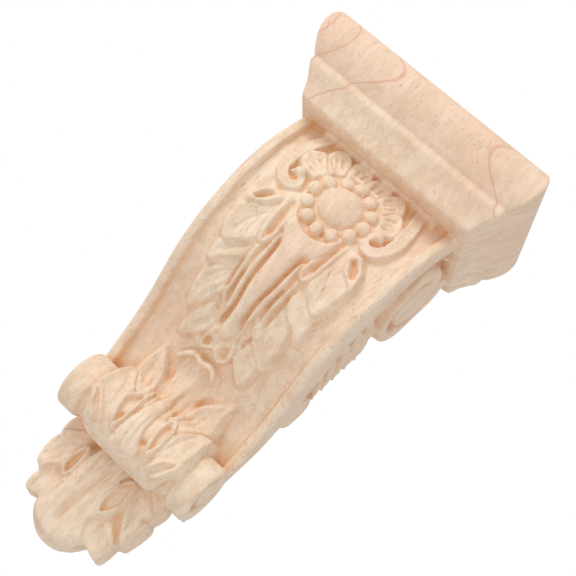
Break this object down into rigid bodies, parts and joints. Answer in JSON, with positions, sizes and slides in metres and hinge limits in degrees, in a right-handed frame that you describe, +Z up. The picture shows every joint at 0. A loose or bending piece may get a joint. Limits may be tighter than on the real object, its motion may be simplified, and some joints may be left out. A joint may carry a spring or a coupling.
{
  "type": "carved wooden corbel",
  "caption": "Carved wooden corbel with a moulded cap, an S-shaped body with a sunk front panel of leaves and a rosette, a lower scroll and a tail leaf.",
  "frame": {"origin": "centre of the flat back, where the corbel meets the wall", "axes": "+Z up, +Y into the wall, X across; the carving faces -Y"},
  "size_m": [0.112, 0.079, 0.2288],
  "materials": {
    "pale_wood": "bare sanded pale hardwood, warm cream with a pink cast, short dark pores along the grain, no varnish"
  },
  "bodies": {
    "root": {"carved_corbel": "pale_wood"}
  },
  "joints": []
}
